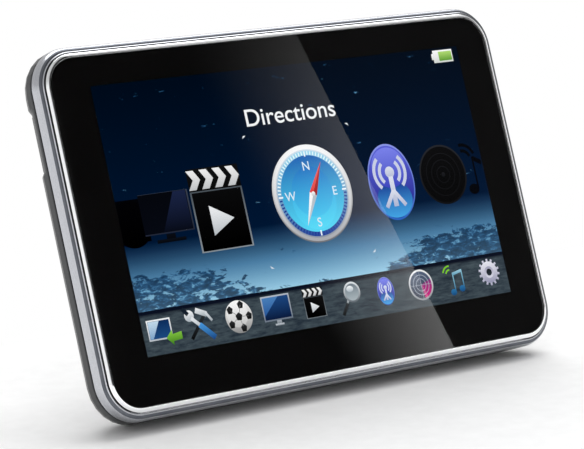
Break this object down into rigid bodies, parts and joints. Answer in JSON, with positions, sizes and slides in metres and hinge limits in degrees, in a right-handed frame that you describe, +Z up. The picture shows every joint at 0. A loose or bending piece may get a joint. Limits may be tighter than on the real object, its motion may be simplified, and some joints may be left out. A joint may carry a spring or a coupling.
{
  "type": "portable gps navigator",
  "caption": "Slim landscape navigator with a glossy touch screen in a bright bead rim, curved rear shell, rear speaker grille, side card slot and bottom sockets.",
  "frame": {"origin": "under the middle of the case, on the plane that the case stands on", "axes": "+X to the right of someone facing the screen, +Z up, -Y out of the screen and +Y out of the back"},
  "size_m": [0.1172, 0.0126, 0.0747],
  "materials": {
    "black_glass": "polished",
    "chrome": "mirror polished",
    "satin_silver": "satin metallic paint on moulded plastic",
    "gunmetal": "fine-textured metallic plastic",
    "black_foam": "matte foam and cloth",
    "screen": "lit display",
    "steel": "plain sheet",
    "black_plastic": "moulded",
    "white_plastic": "moulded",
    "board_green": "solder mask",
    "flex_amber": "polyimide film",
    "ceramic": "fired",
    "foil": "laminated film",
    "paper_cone": "pressed paper",
    "copper": "enamelled wire",
    "red_wire": "insulation",
    "black_wire": "insulation",
    "clear_plastic": "clear moulding"
  },
  "bodies": {
    "case": {"chrome_rim": "chrome", "front_frame": "satin_silver", "touch_glass": "black_glass", "glass_gasket": "black_foam", "lcd_panel": "screen", "lcd_backlight": "steel", "lcd_flex": "flex_amber", "touch_flex": "flex_amber", "lcd_flex_connector": "white_plastic", "touch_flex_connector": "white_plastic", "mid_chassis": "steel", "main_board": "board_green", "processor_chip": "black_plastic", "memory_chip": "black_plastic", "flash_chip": "black_plastic", "gps_shield_can": "steel", "gps_patch_antenna": "ceramic", "backup_cell": "steel", "usb_socket": "steel", "usb_tongue": "black_plastic", "headphone_socket": "black_plastic", "microphone": "steel", "micro_sd_socket": "steel", "power_switch": "steel", "charge_led": "white_plastic", "charge_light_pipe": "clear_plastic", "reset_switch": "steel", "battery_pack": "foil", "battery_pad": "black_foam", "battery_board": "board_green", "battery_socket": "white_plastic", "battery_plug": "white_plastic", "battery_lead_red": "red_wire", "battery_lead_black": "black_wire", "speaker_frame": "black_plastic", "speaker_magnet": "steel", "speaker_gasket": "black_foam", "speaker_mesh": "black_foam", "speaker_lead_1": "black_wire", "speaker_lead_2": "black_wire", "rear_shell": "gunmetal", "case_screw_1": "steel", "case_screw_2": "steel", "case_screw_3": "steel", "case_screw_4": "steel", "board_screw_1": "steel", "board_screw_2": "steel", "board_screw_3": "steel"},
    "power_button": {"power_button": "chrome", "power_switch_plunger": "black_plastic"},
    "reset_plunger": {"reset_plunger": "white_plastic"},
    "memory_card": {"micro_sd_card": "black_plastic"},
    "speaker_cone": {"speaker_cone": "paper_cone", "speaker_voice_coil": "copper"}
  },
  "joints": [
    {"name": "power_press", "type": "slide", "parent": "case", "child": "power_button", "axis": [0, 0, -1], "range_m": [0, 0.0005], "stiffness_N_per_m": 800, "springref_m": -0.0002},
    {"name": "reset_press", "type": "slide", "parent": "case", "child": "reset_plunger", "axis": [0, -1, 0], "range_m": [0, 0.0003], "stiffness_N_per_m": 200, "springref_m": -0.0001},
    {"name": "card_slide", "type": "slide", "parent": "case", "child": "memory_card", "axis": [-1, 0, 0], "range_m": [0, 0.011]},
    {"name": "cone_stroke", "type": "slide", "parent": "case", "child": "speaker_cone", "axis": [0, 1, 0], "range_m": [-0.00015, 0.00015], "stiffness_N_per_m": 400}
  ]
}
